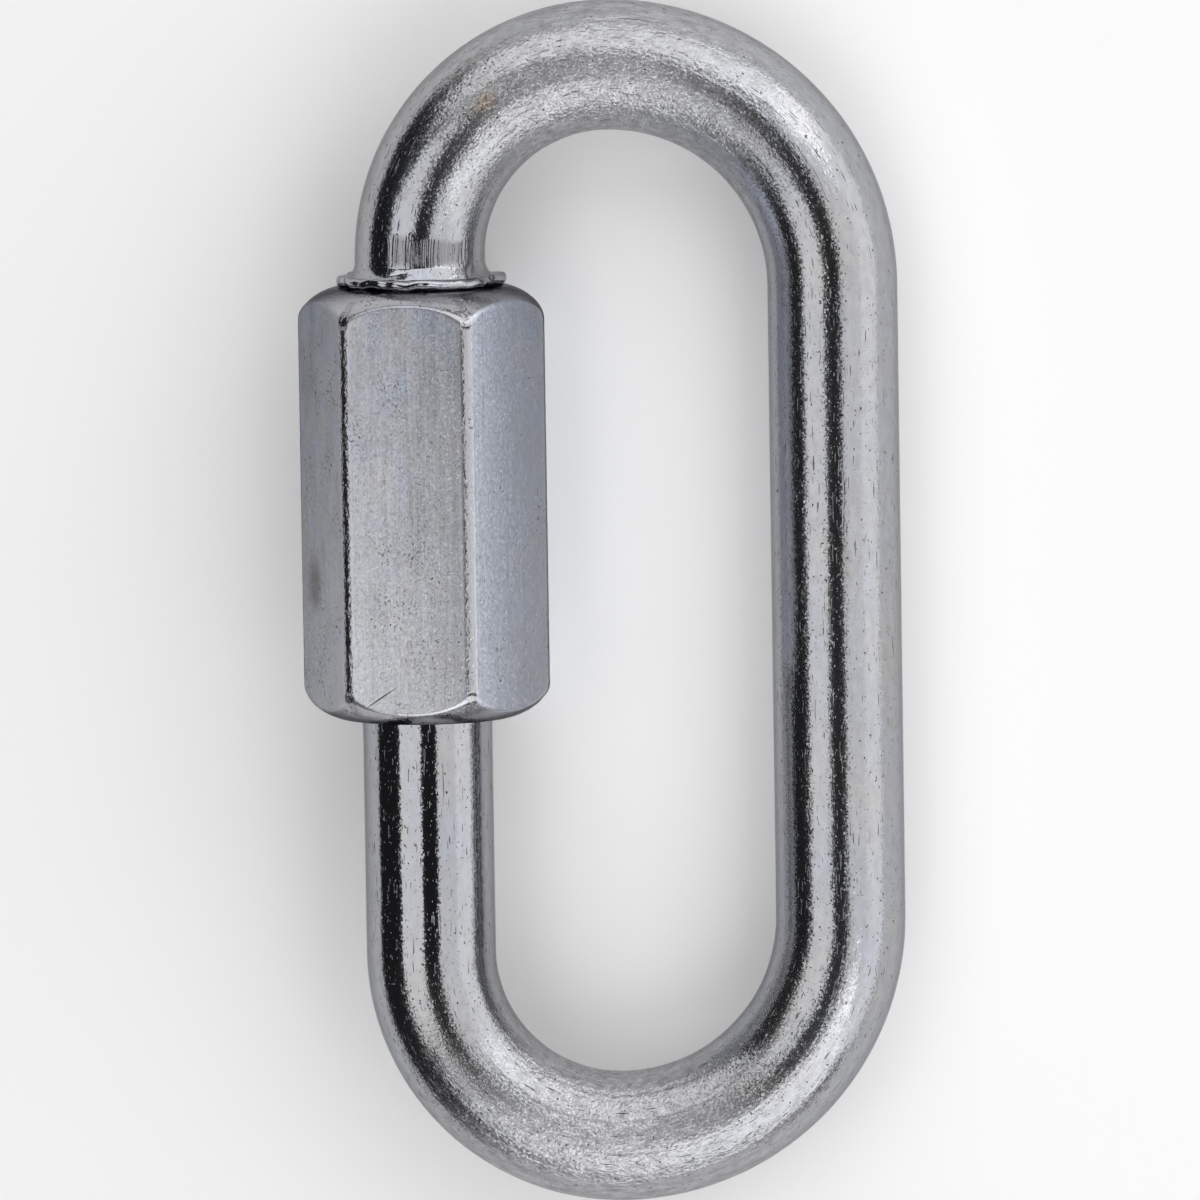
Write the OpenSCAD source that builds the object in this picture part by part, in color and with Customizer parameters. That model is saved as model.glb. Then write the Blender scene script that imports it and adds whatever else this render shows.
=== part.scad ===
// Oval chain quick link: one bent steel bar with two threaded ends, and a
// hexagonal sleeve nut that bridges the gate between them.
// All lengths are in millimetres. The link lies on the plane z = 0: the nut
// rests on one of its flats, and the plain leg opposite rests on the same plane.
// +Y runs along the legs towards the collar's end, and +Z is up.

/* [Bar] */
// Diameter of the round steel bar
rod_d = 10; // [8:0.5:11]
// Length of the link over both bends
link_l = 92.5; // [90:0.5:110]
// Radius of each bend on the nut's side of its top, to the bar's centre line
gate_bend_r = 14.5; // [14:0.25:20]
// Radius of each bend on the plain leg's side of its top, to the bar's centre line
plain_bend_r = 17; // [15:0.25:22]

/* [Gate and threaded ends] */
// Clear width of the gate between the two threaded ends
gate_gap = 12; // [8:0.5:13]
// Length of the threaded stud below the collar
stud_l = 6; // [4:0.5:8]
// Height of the thread's mean surface above the bar
thread_step = 0.5; // [0.3:0.05:0.8]
// Bevel on the tip of each threaded end
tip_bevel = 0.8; // [0.4:0.1:1.5]
// How far the closed nut covers the bar below the lower thread
thread_cover = 2; // [1:0.5:4]

/* [Collar] */
// How far the collar's rim stands out from the bar
collar_step = 1.7; // [1.2:0.1:2.2]
// Thickness of the collar's rim
collar_t = 0.8; // [0.5:0.1:1.2]
// Radius of the hollow flare that runs from the collar back into the bar
flare_r = 1.6; // [1.2:0.1:2.2]
// How far the foot of that flare stands out from the bar on top of the collar
flare_w = 0.55; // [0.3:0.05:0.9]
// Drop from the start of the upper bend to the top of the collar
collar_drop = 1.45; // [1.25:0.05:3]

/* [Sleeve nut] */
// Width of the nut across its flats
nut_af = 17; // [16:0.5:22]
// Length of the nut
nut_l = 33; // [30:0.5:36]
// Amount taken off each sharp corner of the hexagon, along its radius
nut_corner_break = 0.17; // [0.05:0.01:0.4]
// Width of the flat ring on each end of the nut, outside the countersink
nut_face_w = 0.4; // [0.2:0.05:0.8]
// How far the domed end runs down each corner of the nut
nut_dome_l = 2.25; // [1.6:0.05:2.8]
// Radius of the curve of that dome
nut_dome_r = 4.6; // [3.5:0.1:7]
// Depth of the countersink at each end of the nut's bore
bore_sink = 0.8; // [0.4:0.1:1.2]

/* [Fits] */
// Radial clearance between the thread and the nut's bore
thread_play = 0.05; // [0.02:0.01:0.1]
// Gap between the collar and the closed nut
seat_gap = 0.05; // [0.02:0.01:0.2]
// How deep the end of the collar's flare runs under the bar's surface
flare_sink = 0.03; // [0.02:0.01:0.1]

/* [Hidden] */
$fn = 96;
half_turn = 180;
quarter_turn = 90;
hex_sides = 6;

rod_r = rod_d / 2;
thread_r = rod_r + thread_step;
rim_r = collar_t / 2;
collar_w = collar_step - rim_r;
flare_x = rod_r - flare_sink + flare_r;
flare_h = sqrt(pow(flare_r, 2) - pow(flare_r - flare_sink - flare_w, 2));
bore_r = thread_r + thread_play;
hex_r = nut_af / 2 / cos(half_turn / hex_sides);
nut_corner_r = hex_r - nut_corner_break;

// The dome's curve runs from the flat ring to the corner, and these give the
// centre of its circle from that chord.
nut_face_r = bore_r + bore_sink + nut_face_w;
dome_w = nut_corner_r - nut_face_r;
dome_chord = norm([dome_w, nut_dome_l]);
dome_lift = sqrt(pow(nut_dome_r, 2) - pow(dome_chord / 2, 2));
dome_x = (nut_face_r + nut_corner_r) / 2 - dome_lift * nut_dome_l / dome_chord;
dome_drop = nut_dome_l / 2 + dome_lift * dome_w / dome_chord;

// Heights along the legs, from the middle of the link.
bend_top = link_l / 2 - rod_r;
gate_bend_y = bend_top - gate_bend_r;
plain_bend_y = bend_top - plain_bend_r;
collar_top = gate_bend_y - collar_drop;
collar_base = collar_top - collar_t;
stud_end = collar_base - stud_l;
leg_end = stud_end - gate_gap;
nut_top = collar_base - seat_gap;
nut_base = nut_top - nut_l;
thread_base = nut_base + thread_cover;

// The link lies at rest: the nut lifts its own leg to half its flats, the plain
// leg lies on the plane, and the loop tilts by the difference between them.
leg_spacing = gate_bend_r + plain_bend_r;
lie_tilt = asin((nut_af / 2 - rod_r) / leg_spacing);
lie_x = -(leg_spacing * cos(lie_tilt) + rod_r - nut_corner_r) / 2;
lie_z = nut_af / 2;

// Moves a shape from the origin to the nut's axis above the plane z = 0.
module on_nut_axis() {
    translate([lie_x, 0, lie_z]) children();
}

// A solid of revolution about the nut's axis, from an outline of [radius, height].
module turned() {
    rotate([-90, 0, 0]) rotate_extrude() children();
}

// A quarter ring of bar in the plane of the loop, from the angle start.
module quarter_bend(radius, centre_y, start) {
    translate([gate_bend_r, centre_y, 0])
        rotate(start)
            rotate_extrude(angle = quarter_turn) translate([radius, 0]) circle(r = rod_r);
}

// The bend at the collar's end and the one opposite: each is tighter on the nut's
// side of its top than on the plain leg's side.
module bends() {
    quarter_bend(gate_bend_r, gate_bend_y, quarter_turn);
    quarter_bend(plain_bend_r, plain_bend_y, 0);
    quarter_bend(plain_bend_r, -plain_bend_y, -quarter_turn);
    quarter_bend(gate_bend_r, -gate_bend_y, half_turn);
}

// The leg without a gate, straight between the two bends.
module plain_leg() {
    translate([leg_spacing, plain_bend_y, 0])
        rotate([90, 0, 0]) cylinder(r = rod_r, h = 2 * plain_bend_y);
}

// The lower threaded end: bar, thread runout, thread and bevelled tip.
module lower_end() {
    turned()
        polygon([
            [0, -gate_bend_y],
            [rod_r, -gate_bend_y],
            [rod_r, thread_base - thread_step],
            [thread_r, thread_base],
            [thread_r, leg_end - tip_bevel],
            [thread_r - tip_bevel, leg_end],
            [0, leg_end]
        ]);
}

// The upper threaded end: bevelled stud, then the body of the collar and the bar.
module upper_end() {
    turned()
        polygon([
            [0, stud_end],
            [thread_r - tip_bevel, stud_end],
            [thread_r, stud_end + tip_bevel],
            [thread_r, collar_base],
            [rod_r + collar_w, collar_base],
            [rod_r + collar_w, collar_top],
            [rod_r, collar_top],
            [rod_r, gate_bend_y],
            [0, gate_bend_y]
        ]);
}

// The half-round rim of the collar.
module collar_rim() {
    turned()
        intersection() {
            translate([rod_r + collar_w, collar_base + rim_r]) circle(r = rim_r);
            translate([rod_r + collar_w, collar_base]) square([rim_r, collar_t]);
        }
}

// The hollow-curved flare that runs from the collar back into the bar.
module collar_flare() {
    turned()
        difference() {
            translate([0, collar_top]) square([rod_r + flare_w, flare_h]);
            translate([flare_x, collar_top + flare_h]) circle(r = flare_r);
        }
}

// The bar, cold formed from one length of rod.
module link_bar() {
    color([0.72, 0.73, 0.76])
        on_nut_axis() rotate([0, lie_tilt, 0]) {
            upper_end();
            collar_rim();
            collar_flare();
            bends();
            plain_leg();
            lower_end();
        }
}

// What turning takes off the edge of one end to leave a dome: the outline above
// a circle, for an end at height 0 with the nut below it.
module dome_cut() {
    difference() {
        translate([dome_x, -2 * nut_dome_l])
            square([nut_corner_r - dome_x + nut_face_w, 2 * nut_dome_l + nut_face_w]);
        translate([dome_x, -dome_drop]) circle(r = nut_dome_r);
    }
}

// The outside of the nut as turned: a dome at each end, broken corners between.
module turned_blank() {
    turned()
        difference() {
            translate([0, nut_base]) square([nut_corner_r, nut_l]);
            translate([0, nut_top]) dome_cut();
            translate([0, nut_base]) mirror([0, 1]) dome_cut();
        }
}

// The nut's bore at the thread's mean diameter, countersunk at both ends.
module nut_bore() {
    turned()
        polygon([
            [0, nut_base],
            [bore_r + bore_sink, nut_base],
            [bore_r, nut_base + bore_sink],
            [bore_r, nut_top - bore_sink],
            [bore_r + bore_sink, nut_top],
            [0, nut_top]
        ]);
}

// The hexagonal bar that the nut is cut from, with two flats level.
module hex_bar() {
    translate([0, nut_base, 0])
        rotate([-90, 0, 0]) cylinder(r = hex_r, h = nut_l, $fn = hex_sides);
}

// The long sleeve nut, closed against the collar and lying on one of its flats.
module sleeve_nut() {
    color([0.66, 0.67, 0.70])
        on_nut_axis()
            difference() {
                intersection() {
                    hex_bar();
                    turned_blank();
                }
                nut_bore();
            }
}

link_bar();
sleeve_nut();
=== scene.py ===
"""Looks of an oval chain quick link: a bent zinc-plated bar and its hexagonal sleeve nut.

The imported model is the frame: +X from the nut to the plain leg, +Y along the legs towards the collar,
+Z up from the floor that the link lies on. Sizes here are millimetres until a mesh is made.
"""
import math

import bpy
import numpy as np
from mathutils import Matrix, Vector


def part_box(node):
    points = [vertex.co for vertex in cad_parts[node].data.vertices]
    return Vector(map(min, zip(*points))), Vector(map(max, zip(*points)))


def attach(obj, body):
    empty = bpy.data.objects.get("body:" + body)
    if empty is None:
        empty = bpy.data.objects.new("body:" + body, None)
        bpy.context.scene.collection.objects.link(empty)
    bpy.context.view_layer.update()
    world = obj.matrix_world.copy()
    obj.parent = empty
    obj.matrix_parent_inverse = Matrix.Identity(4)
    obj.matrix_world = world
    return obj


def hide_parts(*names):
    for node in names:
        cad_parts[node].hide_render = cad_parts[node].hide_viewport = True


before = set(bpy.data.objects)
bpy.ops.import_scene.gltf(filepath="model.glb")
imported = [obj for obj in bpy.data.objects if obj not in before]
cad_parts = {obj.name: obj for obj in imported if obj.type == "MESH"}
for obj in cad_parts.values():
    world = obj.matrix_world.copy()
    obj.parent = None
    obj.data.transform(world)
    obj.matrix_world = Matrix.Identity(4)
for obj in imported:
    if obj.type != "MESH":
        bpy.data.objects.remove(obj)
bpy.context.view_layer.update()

MM = 0.001
TURN = 2 * math.pi
QUARTER = TURN / 4
SIXTH = TURN / 6

# Sizes of the bar, its collar and its ends
ROD_R = 5.0
GATE_BEND_R = 14.5
STUD_L = 6.0
GATE_GAP = 12.0
SEAT_GAP = 0.05
COLLAR_T = 0.8
COLLAR_STEP = 1.7
FLARE_R = 1.6
FLARE_W = 0.55
FLARE_SINK = 0.03
THREAD_COVER = 2.0
RUNOUT_L = 1.5
TIP_R = 4.7
POLE_R = 0.6
# Marks of forming on the bar: how far its skin lies inside the solid's, how ragged, cut back and lifted the
# collar's edge is, the width of the wedge pressed on its flare, and where above the collar's base the bar was
# gripped to bend it
SKIN_DROP = 0.03
RIM_RAGGED = 0.15
RIM_CUT = 0.22
RIM_LIFT = 0.12
RIM_LIFT_MOST = 0.35
WEDGE_W = 0.62
GRIP_FROM = 1.9
GRIP_TO = 3.7
# Metric fine thread on both ends: pitch, crest and root of the bar, the factor that cuts its triangle flat,
# and play of the nut over it
PITCH = 1.5
CREST_R = 5.97
ROOT_R = 5.10
THREAD_FLAT = 1.45
THREAD_PLAY = 0.06
# Sleeve nut: radius of its countersinks and of the flat ring round them, the rounding of their edges and of
# the dome's edge on a flat, with what a corner adds, the dome of its ends, the crown of its flats, and the
# wear and nicks of its corners
BORE_SINK_R = 6.35
FACE_R = 6.75
SINK_ROUND = 0.12
FACE_ROUND = 0.1
EDGE_ROUND = 0.2
CORNER_ROUND = 0.35
DOME_L = 2.25
DOME_R = 4.6
CROWN_R = 100.0
CORNER_WEAR = 0.12
NICK_DEPTH = 0.015
# Angles from the middle of a flat where the flat ends, a corner's columns start and the corner is full
FLAT_END = math.radians(26.4)
CORNER_START = math.radians(26.8)
CORNER_FULL = math.radians(28.4)
# Marks of use on the nut
SCRATCH_AT = (-15.6, -6.3, 17.0)
SCRATCH_TURN = math.radians(34)
STAIN_AT = (-21.4, 1.9, 11.5)
# Floor: half its side in metres, and its glow
FLOOR_HALF = 6.0
FLOOR_GLOW = 0.08

# Driving places, read off the frame
nut_low, nut_high = (np.array(corner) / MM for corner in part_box("sleeve_nut"))
bar_high = np.array(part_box("link_bar")[1]) / MM
AXIS_X = (nut_low[0] + nut_high[0]) / 2
AXIS_Z = (nut_low[2] + nut_high[2]) / 2
FLAT_R = (nut_high[2] - nut_low[2]) / 2
CORNER_R = (nut_high[0] - nut_low[0]) / 2
NUT_TOP = nut_high[1]
NUT_BASE = nut_low[1]
LEG_X = bar_high[0] - ROD_R
TILT = math.atan2(AXIS_Z - ROD_R, LEG_X - AXIS_X)
PLAIN_BEND_R = math.hypot(AXIS_Z - ROD_R, LEG_X - AXIS_X) - GATE_BEND_R
BEND_TOP = bar_high[1] - ROD_R
GATE_BEND_Y = BEND_TOP - GATE_BEND_R
PLAIN_BEND_Y = BEND_TOP - PLAIN_BEND_R
COLLAR_BASE = NUT_TOP + SEAT_GAP
STUD_END = COLLAR_BASE - STUD_L
LEG_END = STUD_END - GATE_GAP
THREAD_BASE = NUT_BASE + THREAD_COVER

# Runs of the bar from the upper stud's tip to the lower end's tip: length, and radius where it bends
RUNS = [
    (GATE_BEND_Y - STUD_END, None),
    (GATE_BEND_R * QUARTER, GATE_BEND_R),
    (PLAIN_BEND_R * QUARTER, PLAIN_BEND_R),
    (2 * PLAIN_BEND_Y, None),
    (PLAIN_BEND_R * QUARTER, PLAIN_BEND_R),
    (GATE_BEND_R * QUARTER, GATE_BEND_R),
    (GATE_BEND_Y + LEG_END, None),
]
RUN_STARTS = np.cumsum([0] + [run for run, radius in RUNS])
GATE_START, UPPER_TOP, LEG_START, LEG_FOOT, LOWER_TOP, GATE_FOOT, LOWER_TIP = RUN_STARTS[1:]
COLLAR_S = COLLAR_BASE - STUD_END
RUNOUT_S = GATE_FOOT + GATE_BEND_Y + THREAD_BASE
# Tarnish on the upper bend, by its place on the unbent bar
TARNISH_AT = (0.6, ROD_R, GATE_START + 13.3)

rng = np.random.default_rng(7)


# Surfaces

def make_mesh(name, points, quads, triangles=()):
    """A smooth mesh object at the origin from points in millimetres and rows of vertex numbers."""
    mesh = bpy.data.meshes.new(name)
    mesh.from_pydata(points * MM, [], np.asarray(quads).tolist() + np.asarray(triangles).tolist())
    mesh.polygons.foreach_set("use_smooth", np.ones(len(mesh.polygons), dtype=bool))
    mesh.update()
    piece = bpy.data.objects.new(name, mesh)
    bpy.context.collection.objects.link(piece)
    return piece


def store(piece, name, values):
    """Stores one number or one vector per vertex on the mesh for its material to read."""
    kind, field = ("FLOAT", "value") if values.ndim == 1 else ("FLOAT_VECTOR", "vector")
    layer = piece.data.attributes.new(name, kind, "POINT")
    layer.data.foreach_set(field, np.ascontiguousarray(values, dtype=np.float32).ravel())


def grid_faces(rows, columns, close_rows):
    """Quads of a grid whose columns run round and close, and whose rows close too if asked."""
    row = np.arange(rows if close_rows else rows - 1)[:, None]
    column = np.arange(columns)[None, :]
    after_row = (row + 1) % rows
    after_column = (column + 1) % columns
    corners = (row * columns + column, row * columns + after_column,
               after_row * columns + after_column, after_row * columns + column)
    return np.stack(np.broadcast_arrays(*corners), axis=-1).reshape(-1, 4)


def smooth_step(value, low, high):
    """0 below low, 1 above high, and a smooth cubic between."""
    share = np.clip((value - low) / (high - low), 0, 1)
    return share * share * (3 - 2 * share)


def window(value, low, high, soft):
    """1 between low and high, falling to 0 over soft on either side."""
    return smooth_step(value, low - soft, low) * (1 - smooth_step(value, high, high + soft))


def thread_wave(height, angle):
    """Thread form from -1 in the root to 1 on the crest: a flat-topped triangle wave of height / pitch
    less the turn, so that the crest is a right-handed helix about +Y."""
    turn = height / PITCH - angle / TURN
    triangle = 1 - 4 * np.abs(turn - np.floor(turn + 0.5))
    return np.clip(THREAD_FLAT * triangle, -1, 1)


def ripple(length, angle, waves, lobes, wavelength, amount):
    """Sum of seeded sines along the bar and round it: the slight unevenness of a cold-formed surface."""
    total = 0
    for _ in range(waves):
        along = rng.uniform(0.35, 1.0) * TURN / wavelength
        around = rng.integers(-lobes, lobes + 1)
        total = total + np.cos(along * length + around * angle + rng.uniform(0, TURN))
    return amount * total / math.sqrt(waves)


def arc(centre_r, centre_h, radius, start, end, count):
    """Points (radius from the axis, height) on an arc, angles in degrees from outwards to upwards."""
    angle = np.radians(np.linspace(start, end, count))
    return np.stack([centre_r + radius * np.cos(angle), centre_h + radius * np.sin(angle)], -1)


def line(start, end, spacing):
    """Points about spacing apart from start up to, but not on, end."""
    start, end = np.array(start), np.array(end)
    count = max(2, round(np.linalg.norm(end - start) / spacing))
    share = np.arange(count)[:, None] / count
    return start * (1 - share) + end * share


# The bar

def bar_centre_line(length):
    """Centre line of the bar by length from the upper stud's tip, as straight runs and quarter arcs: each run
    adds its own displacement, and an arc also turns the heading to the right. Gives the point and the normal
    out of the loop, as (across, along) pairs."""
    place = np.stack([np.zeros_like(length), np.full_like(length, STUD_END)], -1)
    turn = np.zeros_like(length)
    quarters = 0
    for start, (run, radius) in zip(RUN_STARTS, RUNS):
        inside = np.clip(length - start, 0, run)[:, None]
        heading = np.array([math.sin(quarters * QUARTER), math.cos(quarters * QUARTER)])
        right = np.array([heading[1], -heading[0]])
        if radius is None:
            place = place + inside * heading
        else:
            angle = inside / radius
            place = place + radius * (np.sin(angle) * heading + (1 - np.cos(angle)) * right)
            turn = turn + angle[:, 0]
            quarters += 1
    return place, np.stack([-np.cos(turn), np.sin(turn)], -1)


def loop_to_frame(across, along, above):
    """Turns places in the plane of the loop (across, along, above it) by the link's tilt as it lies."""
    x = AXIS_X + across * math.cos(TILT) + above * math.sin(TILT)
    z = AXIS_Z - across * math.sin(TILT) + above * math.cos(TILT)
    return np.stack(np.broadcast_arrays(x, along, z), -1)


def bar_profile():
    """Profile of the bar as rows of (radius, length): tip, thread, collar with its rim and flare, plain bar
    round both bends, thread runout, thread and tip."""
    mean_r = (CREST_R + ROOT_R) / 2
    bevel = mean_r - TIP_R
    rim = COLLAR_T / 2
    collar_w = COLLAR_STEP - rim
    rim_r = ROD_R + collar_w
    collar_top = COLLAR_S + COLLAR_T
    flare_x = ROD_R - FLARE_SINK + FLARE_R
    flare_start = 180 + math.degrees(math.acos((FLARE_R - FLARE_SINK - FLARE_W) / FLARE_R))
    flare_end = 180 + math.degrees(math.acos(1 - FLARE_SINK / FLARE_R))
    flare_h = FLARE_R * math.sin(math.radians(flare_start - 180))
    flare = arc(flare_x, collar_top + flare_h, FLARE_R, flare_start, flare_end, 18)
    fine, plain = 0.125, 0.5
    rows = [
        line((POLE_R, 0), (TIP_R, 0), 0.7),
        line((TIP_R, 0), (mean_r, bevel), fine),
        line((mean_r, bevel), (mean_r, COLLAR_S), fine),
        line((mean_r, COLLAR_S), (rim_r, COLLAR_S), 0.2),
        arc(rim_r, COLLAR_S + rim, rim, -90, 80, 13),
        line((rim_r, collar_top), (ROD_R + FLARE_W, collar_top), 0.1),
        flare,
        line((ROD_R, flare[-1, 1] + plain), (ROD_R, RUNOUT_S - RUNOUT_L), plain),
        line((ROD_R, RUNOUT_S - RUNOUT_L), (mean_r, RUNOUT_S), fine),
        line((mean_r, RUNOUT_S), (mean_r, LOWER_TIP - bevel), fine),
        line((mean_r, LOWER_TIP - bevel), (TIP_R, LOWER_TIP), fine),
        line((TIP_R, LOWER_TIP), (POLE_R, LOWER_TIP), 0.7),
        np.array([(POLE_R, LOWER_TIP)]),
    ]
    return np.concatenate(rows)


def bar_threads(radius, length, angle):
    """Radius with the thread's helix added on both ends, fading out at the collar and at the runout, and cut
    back to the bevel at each tip."""
    on_stud = (1 - smooth_step(length, COLLAR_S - 0.9, COLLAR_S - 0.3)) * (length < COLLAR_S)
    on_leg = smooth_step(length, RUNOUT_S - RUNOUT_L, RUNOUT_S + 0.4)
    height = np.where(length < COLLAR_S, STUD_END + length, LEG_END + length - LOWER_TIP)
    wave = thread_wave(height, angle + TILT - QUARTER)
    threaded = radius + (on_stud + on_leg) * wave * (CREST_R - ROOT_R) / 2
    to_tip = np.minimum(length, LOWER_TIP - length)
    near_tip = (on_stud + on_leg > 0) & (radius >= TIP_R)
    return np.where(near_tip, np.minimum(threaded, TIP_R + to_tip), threaded)


def bar_grain(length, angle):
    """How far the crystals of the plated skin lean, from 0 on the bright lower end of the gated leg to 1 at
    the top of the lower bend: straight lines between stations along the bar, and more on the inside of the
    upper bend."""
    stations = [
        (GATE_START, 0.2), (GATE_START + 10, 0.4), (GATE_START + 15, 0.7), (UPPER_TOP + 2, 0.85),
        (UPPER_TOP + 12, 0.5), (UPPER_TOP + 18, 0.3), (LEG_START, 0.25), (LEG_FOOT, 0.25),
        (LEG_FOOT + 12, 0.4), (LEG_FOOT + 19, 0.75), (LOWER_TOP, 1.0), (LOWER_TOP + 6, 1.0),
        (LOWER_TOP + 13, 0.55), (GATE_FOOT - 5, 0.3), (GATE_FOOT, 0.12), (GATE_FOOT + 5, 0.04),
    ]
    along = np.interp(length, *np.array(stations).T)
    inside = window(length, GATE_START + 8, LEG_START - 12, 8) * smooth_step(-np.cos(angle), -0.2, 0.7)
    return np.minimum(along + 0.25 * inside, 1)


def bent_bar():
    """The bar: its profile carried round the centre line, with the thread's helix, a ragged forged rim, a
    wedge pressed on the flare and a slight unevenness added to the radius. One point on the axis closes each
    end."""
    columns = 160
    profile = bar_profile()
    radius, length = profile[:, :1], profile[:, 1:]
    angle = np.linspace(0, TURN, columns, endpoint=False)[None, :]
    centre, outward = bar_centre_line(length[:, 0])
    grain = bar_grain(length, angle)

    plain = smooth_step(length, COLLAR_S + 1.6, COLLAR_S + 4)
    plain = plain * (1 - smooth_step(length, RUNOUT_S - 4, RUNOUT_S - 2))
    uneven = ripple(length, angle, 9, 4, 9.0, 0.003)
    uneven = uneven + grain * ripple(length, angle, 12, 9, 3.2, 0.006) - SKIN_DROP
    on_rim = smooth_step(radius, ROD_R + 0.7, ROD_R + COLLAR_STEP)
    on_rim = on_rim * window(length, COLLAR_S, COLLAR_S + 1.4, 0.01)
    lobes = np.array([3, 5, 8, 11, 17, 23, 31])[:, None, None]
    phases = [rng.uniform(0, TURN, lobes.shape) for _ in range(2)]
    ragged, lifted = (np.sum(np.cos(lobes * angle + phase) / np.sqrt(lobes), axis=0) for phase in phases)
    # The wedge grows taller towards the inside of the loop
    above = length - COLLAR_S - COLLAR_T
    wedge_h = np.interp(angle, [1.0, 1.5, 2.3], [0.3, 0.85, 1.15])
    wedge = WEDGE_W * np.clip(1 - above / wedge_h, 0, 1) * window(angle, 1.2, 2.3, 0.25) * (above >= 0)
    swept = bar_threads(radius, length, angle) + plain * uneven + on_rim * (RIM_RAGGED * ragged - RIM_CUT)
    swept = np.maximum(swept, (ROD_R + wedge) * (wedge > 0))
    lift = on_rim * np.clip(RIM_LIFT * lifted + RIM_LIFT, 0, RIM_LIFT_MOST)

    across = centre[:, :1] + swept * np.cos(angle) * outward[:, :1]
    along = centre[:, 1:] + swept * np.cos(angle) * outward[:, 1:] + lift
    points = loop_to_frame(across, along, swept * np.sin(angle)).reshape(-1, 3)
    tips = loop_to_frame(np.zeros(2), np.array([STUD_END, LEG_END]), np.zeros(2))
    ring = np.arange(columns)
    after = (ring + 1) % columns
    foot = len(points) - columns
    first = np.stack([np.full(columns, len(points)), after, ring], -1)
    last = np.stack([np.full(columns, len(points) + 1), foot + ring, foot + after], -1)
    quads = grid_faces(len(profile), columns, False)
    piece = make_mesh("bent_bar", np.concatenate([points, tips]), quads, np.concatenate([first, last]))

    straight = np.stack(np.broadcast_arrays(swept * np.cos(angle), swept * np.sin(angle), length), -1)
    straight_tips = [[0, 0, 0], [0, 0, LOWER_TIP]]
    store(piece, "straight", np.concatenate([straight.reshape(-1, 3), straight_tips]) * MM)
    # Grip marks lie on the upper and lower sides of the bar
    gripped = window(length, COLLAR_S + GRIP_FROM, COLLAR_S + GRIP_TO, 0.3)
    gripped = gripped * smooth_step(np.abs(np.sin(angle - 0.2)), 0.6, 0.9)
    for name, values in (("grain", grain), ("gripped", gripped)):
        store(piece, name, np.append(np.broadcast_to(values, swept.shape).ravel(), [0, 0]))
    return piece


# The nut

def rounded(start, corner, end, reach, count):
    """A rounded corner for many columns: a quadratic curve from reach before the corner to reach after it."""
    def toward(target):
        step = target - corner
        return corner + step * np.minimum(reach / np.linalg.norm(step, axis=-1, keepdims=True), 0.5)
    share = np.linspace(0, 1, count)[:, None, None]
    return (1 - share) ** 2 * toward(start) + 2 * share * (1 - share) * corner + share ** 2 * toward(end)


def nut_columns():
    """Angles round the nut, closer together at its six corners, with the nearest flat's own angle."""
    flat = np.linspace(-FLAT_END, FLAT_END, 18)
    corner = np.linspace(CORNER_START, SIXTH - CORNER_START, 18)
    sector = np.concatenate([flat, corner])
    angle = (np.arange(6)[:, None] * SIXTH + sector[None, :]).ravel()
    return angle, angle - np.round(angle / SIXTH) * SIXTH


def crowned_hexagon(from_flat):
    """Radius of a drawn hexagon by the angle from its nearest flat: each flat is an arc of a very large
    circle, and at each corner a small circle that touches both arcs brings it down to the worn reach."""
    half_side = SIXTH / 2
    reach = CORNER_R - CORNER_WEAR
    back = CROWN_R - FLAT_R
    spare = CROWN_R - reach
    centre = (spare ** 2 - back ** 2) / (2 * (back * math.cos(half_side) - spare))
    corner_r = reach - centre
    flat = np.sqrt(CROWN_R ** 2 - (back * np.sin(from_flat)) ** 2) - back * np.cos(from_flat)
    from_corner = half_side - np.abs(from_flat)
    inside = np.maximum(corner_r ** 2 - (centre * np.sin(from_corner)) ** 2, 0)
    circle = centre * np.cos(from_corner) + np.sqrt(inside)
    lean = math.atan2(centre * math.sin(half_side), back + centre * math.cos(half_side))
    touch = math.atan2(CROWN_R * math.sin(lean), CROWN_R * math.cos(lean) - back)
    return np.where(np.abs(from_flat) < touch, flat, circle)


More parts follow.
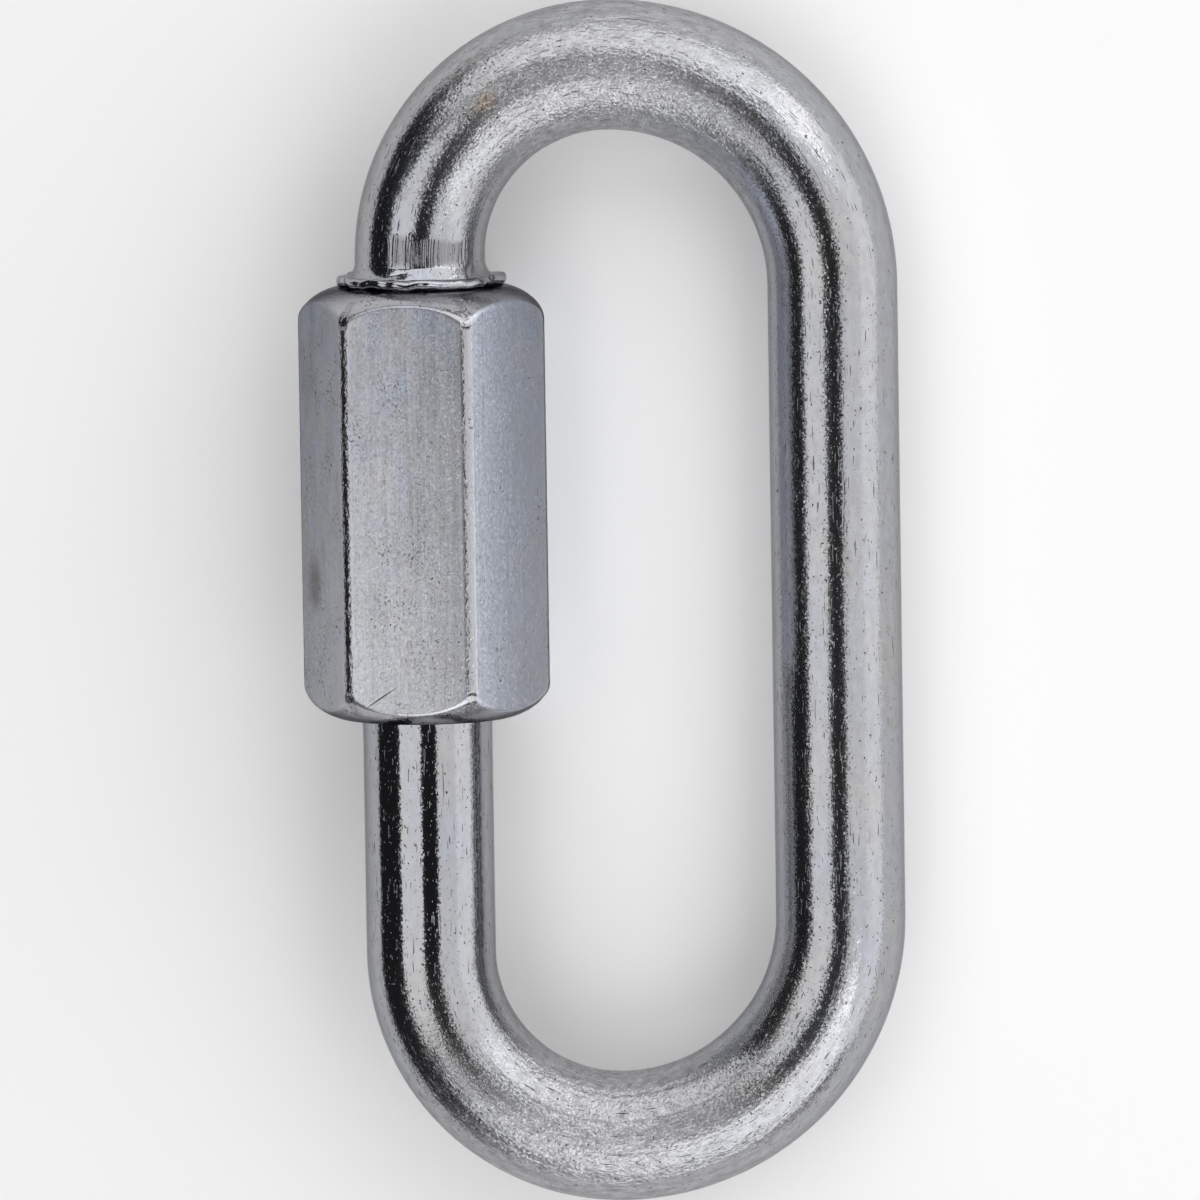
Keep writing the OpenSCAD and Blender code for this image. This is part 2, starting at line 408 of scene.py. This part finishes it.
def hex_sleeve_nut():
    """The nut: one closed profile carried round the axis, with a radius that follows a crowned hexagon of
    nicked corners. A turned dome closes each end, and the bore is the bar's thread form with some play."""
    angle, from_flat = nut_columns()
    outline = crowned_hexagon(from_flat)
    near_corner = (outline - FLAT_R) / (CORNER_R - FLAT_R)
    edge_reach = EDGE_ROUND + CORNER_ROUND * near_corner[:, None] ** 2
    middle = (NUT_TOP + NUT_BASE) / 2
    dome_w = CORNER_R - FACE_R
    chord = math.hypot(dome_w, DOME_L)
    lift = math.sqrt(DOME_R ** 2 - chord ** 2 / 4)
    dome_x = (FACE_R + CORNER_R) / 2 - lift * DOME_L / chord
    dome_drop = DOME_L / 2 + lift * dome_w / chord

    def half_profile(end, way):
        """Rows from the middle of the flats over one end to the countersink, way being up or down."""
        def dome(share):
            """The dome's curve from the outline at 0 to the flat ring at 1."""
            reach = outline + (FACE_R - outline) * share
            rise = np.sqrt(DOME_R ** 2 - (reach - dome_x) ** 2)
            return np.stack([reach, end - way * (dome_drop - rise)], -1)

        edge = dome(0)
        start = np.stack([outline, np.full_like(outline, middle)], -1)
        face = np.broadcast_to([FACE_R, end], edge.shape)
        sink = np.broadcast_to([BORE_SINK_R, end], edge.shape)
        bore = np.broadcast_to([BORE_SINK_R - 1, end - way], edge.shape)
        share = np.linspace(0.01, 0.97, 56)[:, None, None]
        return np.concatenate([
            start * (1 - share) + edge * share,
            rounded(start, edge, dome(0.3), edge_reach, 7),
            dome(np.linspace(0.3, 0.9, 10)[:, None]),
            rounded(dome(0.9), face, sink, FACE_ROUND, 5),
            rounded(face, sink, bore, SINK_ROUND, 5),
        ])

    upper = half_profile(NUT_TOP, 1)
    lower = half_profile(NUT_BASE, -1)[::-1]
    depth = np.arange(NUT_TOP - SINK_ROUND, NUT_BASE + SINK_ROUND, -PITCH / 9)[:, None]
    wave = thread_wave(depth, angle[None, :])
    thread = (CREST_R + ROOT_R) / 2 + THREAD_PLAY + wave * (CREST_R - ROOT_R) / 2
    to_end = np.minimum(NUT_TOP - depth, depth - NUT_BASE)
    bore = np.stack(np.broadcast_arrays(np.maximum(thread, BORE_SINK_R - to_end), depth), -1)
    profile = np.concatenate([upper, bore, lower])
    radius, height = profile[..., 0], profile[..., 1]

    at_corner = smooth_step(np.abs(from_flat), CORNER_START, CORNER_FULL)[None, :]
    outside = smooth_step(radius, FLAT_R - 0.6, FLAT_R - 0.2)
    nicks = np.maximum(ripple(height, 5 * angle[None, :], 14, 3, 0.9, 1.0) - 0.4, 0)
    radius = radius - NICK_DEPTH * at_corner * outside * nicks
    points = np.stack([AXIS_X + radius * np.sin(angle), height, AXIS_Z + radius * np.cos(angle)], -1)
    faces = grid_faces(len(profile), len(angle), True)
    piece = make_mesh("hex_sleeve_nut", points.reshape(-1, 3), faces)
    store(piece, "corner", (at_corner * outside).ravel())
    store(piece, "turned", smooth_step(outline[None, :] - radius, 0.08, 0.25).ravel())
    return piece


# Materials

def linear(code):
    """Linear colour of an sRGB hex value."""
    parts = (int(code[i:i + 2], 16) / 255 for i in (1, 3, 5))
    return tuple(c / 12.92 if c <= 0.04045 else ((c + 0.055) / 1.055) ** 2.4 for c in parts) + (1.0,)


def add(tree, kind, inputs=(), out=0, **settings):
    """Adds one node, sets its properties, sets or links its inputs by name or number, gives one output."""
    made = tree.nodes.new(kind)
    for name, value in settings.items():
        setattr(made, name, value)
    for key, value in dict(inputs).items():
        if isinstance(value, bpy.types.NodeSocket):
            tree.links.new(value, made.inputs[key])
        else:
            made.inputs[key].default_value = value
    return made.outputs[out] if made.outputs else made


def new_material(name):
    """An empty node material and its tree."""
    material = bpy.data.materials.new(name)
    material.use_nodes = True
    material.node_tree.nodes.clear()
    return material, material.node_tree


def marks(tree, place, size, low, high, detail=1.0):
    """Irregular marks of about the given size in millimetres, 0 outside them and 1 inside: noise stretched to
    that size and cut between two levels."""
    scale = tuple(1 / (part * MM) for part in size)
    stretched = add(tree, "ShaderNodeVectorMath", {0: place, 1: scale}, operation="MULTIPLY")
    noise = add(tree, "ShaderNodeTexNoise", {"Vector": stretched, "Scale": 1.0, "Detail": detail})
    return add(tree, "ShaderNodeMapRange", {0: noise, 1: low, 2: high})


def spot(tree, place, centre, size, turn=0.0):
    """One elliptical patch by its centre and half sizes in millimetres, turned about the third axis: 1 in its
    middle, 0 from its rim on."""
    own = add(tree, "ShaderNodeMapping", {
        "Vector": place, "Location": Vector(centre) * MM, "Rotation": (0, 0, turn),
        "Scale": Vector(size) * MM}, vector_type="TEXTURE")
    reach = add(tree, "ShaderNodeVectorMath", {0: own}, out="Value", operation="LENGTH")
    return add(tree, "ShaderNodeMapRange", {0: reach, 1: 1.0, 2: 0.4})


def leaning_crystals(tree, place, size, lean, sparkle):
    """Normal of a plated skin, and a number of each crystal's own: each cell of about the given size in
    millimetres leans its own way by up to lean, and the fifth power of that lean, times sparkle, makes a few
    cells lean far. Real zinc crystals are much finer, and are drawn as coarse as it takes to show."""
    scale = tuple(1 / (part * MM) for part in size)
    stretched = add(tree, "ShaderNodeVectorMath", {0: place, 1: scale}, operation="MULTIPLY")
    cell = add(tree, "ShaderNodeTexVoronoi", {"Vector": stretched, "Scale": 1.0}, out="Color")
    way = add(tree, "ShaderNodeVectorMath", {0: cell, 1: (2, 2, 2), 2: (-1, -1, -1)},
              operation="MULTIPLY_ADD")
    square = add(tree, "ShaderNodeVectorMath", {0: way, 1: way}, operation="MULTIPLY")
    fourth = add(tree, "ShaderNodeVectorMath", {0: square, 1: square}, operation="MULTIPLY")
    fifth = add(tree, "ShaderNodeVectorMath", {0: fourth, 1: way}, operation="MULTIPLY")
    near = add(tree, "ShaderNodeVectorMath", {0: way, "Scale": lean}, operation="SCALE")
    far = add(tree, "ShaderNodeVectorMath", {0: fifth, "Scale": sparkle}, operation="SCALE")
    normal = add(tree, "ShaderNodeNewGeometry", out="Normal")
    for share in (near, far):
        normal = add(tree, "ShaderNodeVectorMath", {0: normal, 1: share}, operation="ADD")
    return add(tree, "ShaderNodeVectorMath", {0: normal}, operation="NORMALIZE"), cell


def layered(tree, colour, layers):
    """A colour with others laid over it, each by its own share."""
    for share, code in layers:
        inputs = {0: share, 6: colour, 7: linear(code)}
        colour = add(tree, "ShaderNodeMix", inputs, out=2, data_type="RGBA")
    return colour


def relief(tree, normal, layers):
    """A normal with a relief on it: the sum of patterns, each times its height in millimetres."""
    height = 0.0
    for pattern, rise in layers:
        height = add(tree, "ShaderNodeMath", {0: pattern, 1: rise, 2: height}, operation="MULTIPLY_ADD")
    return add(tree, "ShaderNodeBump", {"Height": height, "Distance": MM, "Normal": normal})


def plated_bar_steel():
    """Cold-formed round steel, bright zinc electroplate, clear passivated: a cool grey mirror on the straight
    legs, broken by draw lines and fine pits, and a frost of leaning crystals where the bar was bent."""
    material, tree = new_material("zinc_plated_cold_formed_bar")
    place = add(tree, "ShaderNodeAttribute", out="Vector", attribute_name="straight")
    grain = add(tree, "ShaderNodeAttribute", out="Fac", attribute_name="grain")
    gripped = add(tree, "ShaderNodeAttribute", out="Fac", attribute_name="gripped")

    squared = add(tree, "ShaderNodeMath", {0: grain, 1: grain}, operation="MULTIPLY")
    lean = add(tree, "ShaderNodeMapRange", {0: squared, 3: 0.006, 4: 0.08})
    sparkle = add(tree, "ShaderNodeMapRange", {0: grain, 3: 0.03, 4: 0.16})
    skin, cell = leaning_crystals(tree, place, (0.11, 0.11, 0.14), lean, sparkle)
    lines = marks(tree, place, (0.18, 0.18, 14), 0.25, 0.75)
    line_rise = add(tree, "ShaderNodeMapRange", {0: gripped, 3: 0.0006, 4: 0.045})
    drawn = marks(tree, place, (1.1, 1.1, 26), 0.5, 0.62)
    drawn_rise = add(tree, "ShaderNodeMapRange", {0: squared, 3: 0.0, 4: 0.05})
    peel = marks(tree, place, (0.22, 0.22, 0.28), 0.3, 0.7, 2.0)
    peel_rise = add(tree, "ShaderNodeMapRange", {0: squared, 3: 0.0, 4: 0.042})
    dashes = marks(tree, place, (0.14, 0.14, 1.6), 0.70, 0.76)
    pits = marks(tree, place, (0.2, 0.2, 0.3), 0.70, 0.76)
    torn = marks(tree, place, (0.2, 0.2, 2.2), 0.68, 0.76)
    patch = marks(tree, place, (2.0, 2.0, 5.0), 0.5, 0.6)
    torn = add(tree, "ShaderNodeMath", {0: torn, 1: patch}, operation="MULTIPLY")
    torn = add(tree, "ShaderNodeMath", {0: torn, 1: grain}, operation="MULTIPLY")
    normal = relief(tree, skin, (
        (lines, line_rise), (drawn, drawn_rise), (peel, peel_rise),
        (dashes, -0.01), (pits, -0.02), (torn, -0.03)))

    blue = marks(tree, place, (3.5, 3.5, 9), 0.4, 0.7, 3.0)
    dull = marks(tree, place, (0.5, 0.5, 0.9), 0.35, 0.75, 3.0)
    tarnish = spot(tree, place, TARNISH_AT, (0.8, 1.0, 1.4))
    tarnish = add(tree, "ShaderNodeMath", {0: tarnish, 1: 0.7}, operation="MULTIPLY")
    colour = layered(tree, linear("#ABABAC"), (
        (blue, "#A5A9B4"), (squared, "#CCCCCE"), (dull, "#A0A0A2"), (gripped, "#8A8A8D"),
        (dashes, "#5C5C5E"), (pits, "#4A4A4C"), (torn, "#5A5A5C"), (tarnish, "#B8AA98")))
    haze = add(tree, "ShaderNodeMapRange", {0: grain, 1: 0.05, 2: 0.75, 3: 0.1, 4: 0.4})
    clear = add(tree, "ShaderNodeMapRange", {0: grain, 1: 0.05, 2: 0.85, 3: 0.08, 4: 0.3})
    rough = add(tree, "ShaderNodeMapRange", {0: cell, 3: clear, 4: haze})
    shader = add(tree, "ShaderNodeBsdfPrincipled", {
        "Base Color": colour, "Metallic": 1.0, "Roughness": rough, "Specular Tint": linear("#CACACC"),
        "Normal": normal})
    add(tree, "ShaderNodeOutputMaterial", {0: shader})
    return material


def plated_nut_steel():
    """Drawn hexagon steel, satin zinc electroplate, clear passivated: softer than the bar, with streaks along
    the drawing direction, clustered pits and corners rubbed bright. Painted light: a pale blue sheen painted
    on the faces towards the loop stands in for their reflection, and the flats are painted paler towards the
    base."""
    material, tree = new_material("zinc_plated_drawn_hexagon")
    place = add(tree, "ShaderNodeTexCoord", out="Object")
    corner = add(tree, "ShaderNodeAttribute", out="Fac", attribute_name="corner")
    turned = add(tree, "ShaderNodeAttribute", out="Fac", attribute_name="turned")
    height = add(tree, "ShaderNodeSeparateXYZ", {0: place}, out="Y")
    lower = add(tree, "ShaderNodeMapRange", {0: height, 1: NUT_TOP * MM, 2: NUT_BASE * MM})

    skin, cell = leaning_crystals(tree, place, (0.12, 0.16, 0.12), 0.02, 0.06)
    streaks = marks(tree, place, (0.14, 9, 0.14), 0.3, 0.7, 2.0)
    bands = marks(tree, place, (0.8, 20, 0.8), 0.3, 0.7, 2.0)
    clusters = marks(tree, place, (2.2, 4.0, 2.2), 0.48, 0.62, 2.0)
    pits = marks(tree, place, (0.22, 0.3, 0.22), 0.58, 0.72, 2.0)
    pits = add(tree, "ShaderNodeMath", {0: pits, 1: clusters}, operation="MULTIPLY")
    flecks = marks(tree, place, (0.25, 0.5, 0.25), 0.7, 0.76)
    flecks = add(tree, "ShaderNodeMath", {0: flecks, 1: lower}, operation="MULTIPLY")
    scratch = spot(tree, place, SCRATCH_AT, (1.8, 0.09, 1.0), SCRATCH_TURN)
    beads = marks(tree, place, (0.3, 0.45, 0.3), 0.4, 0.62)
    bead_depth = add(tree, "ShaderNodeMapRange", {0: corner, 3: 0.0, 4: -0.012})
    normal = relief(tree, skin, (
        (streaks, 0.0018), (bands, 0.01), (pits, -0.025), (flecks, 0.008), (scratch, -0.03),
        (beads, bead_depth)))

    blue = marks(tree, place, (1.6, 3, 1.6), 0.3, 0.65, 4.0)
    straw = marks(tree, place, (2.0, 4.0, 2.0), 0.55, 0.9, 4.0)
    smudges = marks(tree, place, (1.8, 5.0, 1.8), 0.45, 0.8, 5.0)
    stain = spot(tree, place, STAIN_AT, (1.3, 2.6, 2.0))
    stain = add(tree, "ShaderNodeMath", {0: stain, 1: 0.45}, operation="MULTIPLY")
    # Painted light: the flats are made paler towards the base end, a lightness gradient painted in for how
    # the light falls along them
    painted_paler_base = add(tree, "ShaderNodeMath", {0: lower, 1: 0.4}, operation="MULTIPLY")
    # Painted reflection: the faces right of the upper corner get a pale blue sheen in their colour, strongest
    # at that corner and fading towards the outer corner, in place of the bright reflection they show
    across = add(tree, "ShaderNodeSeparateXYZ", {0: place}, out="X")
    upper_corner = (AXIS_X + CORNER_R / 2) * MM
    outer_corner = (AXIS_X + CORNER_R) * MM
    painted_loop_face_sheen = add(tree, "ShaderNodeMapRange", {0: across, 1: upper_corner, 2: upper_corner + 0.5 * MM})
    fading = add(tree, "ShaderNodeMapRange", {0: across, 1: upper_corner, 2: outer_corner, 3: 0.7, 4: 0.2})
    painted_loop_face_sheen = add(tree, "ShaderNodeMath", {0: painted_loop_face_sheen, 1: fading}, operation="MULTIPLY")
    colour = layered(tree, linear("#B6B6B7"), (
        (blue, "#A9B4CA"), (straw, "#BDB3A2"), (smudges, "#8A8C92"), (streaks, "#ACACB0"),
        (painted_paler_base, "#ECECEC"), (painted_loop_face_sheen, "#DEE5F5"), (turned, "#B4B4B7"), (corner, "#A4A4A8"),
        (stain, "#6E645A"), (pits, "#66666A"), (flecks, "#E0E0E0"), (scratch, "#5E5E60")))
    satin = add(tree, "ShaderNodeMapRange", {0: cell, 3: 0.28, 4: 0.4})
    rubbed = add(tree, "ShaderNodeMath", {0: turned, 1: corner}, operation="MAXIMUM")
    rough = add(tree, "ShaderNodeMapRange", {0: rubbed, 3: satin, 4: 0.18})
    drawn_along = add(tree, "ShaderNodeVectorMath", {0: (0, 1, 0)}, operation="NORMALIZE")
    shader = add(tree, "ShaderNodeBsdfPrincipled", {
        "Base Color": colour, "Metallic": 1.0, "Roughness": rough, "Specular Tint": linear("#747478"),
        "Anisotropic": 0.4, "Anisotropic Rotation": 0.25, "Tangent": drawn_along, "Normal": normal})
    add(tree, "ShaderNodeOutputMaterial", {0: shader})
    return material


def pale_floor():
    """Matt white paper: near white where the lamps reach it, pale grey in the link's own shadow. A faint glow
    keeps it as pale in the metal's reflections as it is to the camera."""
    material, tree = new_material("white_paper_floor")
    paper = add(tree, "ShaderNodeBsdfDiffuse", {"Color": linear("#F4F4F4")})
    seen = 0.0
    for ray in ("Is Camera Ray", "Is Glossy Ray", "Is Transmission Ray"):
        of_kind = add(tree, "ShaderNodeLightPath", out=ray)
        seen = add(tree, "ShaderNodeMath", {0: of_kind, 1: seen}, operation="MAXIMUM")
    level = add(tree, "ShaderNodeMath", {0: seen, 1: FLOOR_GLOW}, operation="MULTIPLY")
    glow = add(tree, "ShaderNodeEmission", {"Color": linear("#FFFFFF"), "Strength": level})
    add(tree, "ShaderNodeOutputMaterial", {0: add(tree, "ShaderNodeAddShader", {0: paper, 1: glow})})
    return material


# The pieces

bar = bent_bar()
bar.data.materials.append(plated_bar_steel())
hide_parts("link_bar")
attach(bar, "link")

nut = hex_sleeve_nut()
nut.data.materials.append(plated_nut_steel())
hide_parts("sleeve_nut")
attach(nut, "nut")

# The floor

corners = np.array([(-1, -1, 0), (1, -1, 0), (1, 1, 0), (-1, 1, 0)]) * FLOOR_HALF / MM
floor = make_mesh("floor", corners, [(0, 1, 2, 3)])
floor.data.materials.append(pale_floor())

# The camera looks down on the link, a little from the plain leg's side and from the collar's end. Its
# distance is in metres

LEAN_X = math.radians(8.1)
LEAN_Y = math.radians(5.8)
ROLL = math.radians(-0.88)
DISTANCE = 0.960
LENS = 375.8
target = Vector((-0.04, 0.18, 7.0)) * MM
to_camera = Vector((math.tan(LEAN_X), math.tan(LEAN_Y), 1)).normalized()
photo_right = Vector((0, 1, 0)).cross(to_camera).normalized()
photo_up = to_camera.cross(photo_right)
camera = bpy.data.objects.new("camera", bpy.data.cameras.new("camera"))
axes = Matrix((photo_right, photo_up, to_camera)).transposed().to_4x4()
stand = Matrix.Translation(target + to_camera * DISTANCE)
camera.matrix_world = stand @ axes @ Matrix.Rotation(ROLL, 4, "Z")
camera.data.lens = LENS
bpy.context.collection.objects.link(camera)
bpy.context.scene.camera = camera

# Softboxes round the camera, in a dark room, and their distance from the link in metres

REACH = 0.7
ROOM = (0.02, 0.02, 0.022, 1)


def softbox(name, around, near, far, half_span, radiance):
    """A rectangular lamp facing the link: around is its direction in degrees from the picture's right to its
    top, near and far are degrees off the camera's line, and half_span is degrees to each side."""
    turn = math.radians(around)
    direction = photo_right * math.cos(turn) + photo_up * math.sin(turn)
    middle = math.radians((near + far) / 2)
    toward = to_camera * math.cos(middle) + direction * math.sin(middle)
    light = bpy.data.lights.new(name, "AREA")
    light.shape = "RECTANGLE"
    light.size = 2 * REACH * math.tan(math.radians((far - near) / 2))
    light.size_y = 2 * REACH * math.tan(math.radians(half_span))
    light.energy = radiance * math.pi * light.size * light.size_y
    lamp = bpy.data.objects.new(name, light)
    side = direction * math.cos(middle) - to_camera * math.sin(middle)
    axes = Matrix((side, toward.cross(side), toward)).transposed().to_4x4()
    lamp.matrix_world = Matrix.Translation(target + toward * REACH) @ axes
    bpy.context.collection.objects.link(lamp)


softbox("softbox_right_near", 0, 15, 50, 30, 1.15)
softbox("softbox_right_far", 0, 50, 82, 42, 1.4)
softbox("softbox_foot", -80, 31, 76, 32, 1.7)
softbox("softbox_head", 86, 25, 72, 43, 1.5)
softbox("softbox_left", 193, 16.5, 54, 20, 1.3)

world = bpy.data.worlds.new("studio")
world.use_nodes = True
world.node_tree.nodes["Background"].inputs["Color"].default_value = ROOM
bpy.context.scene.world = world
bpy.context.scene.view_settings.view_transform = "Standard"
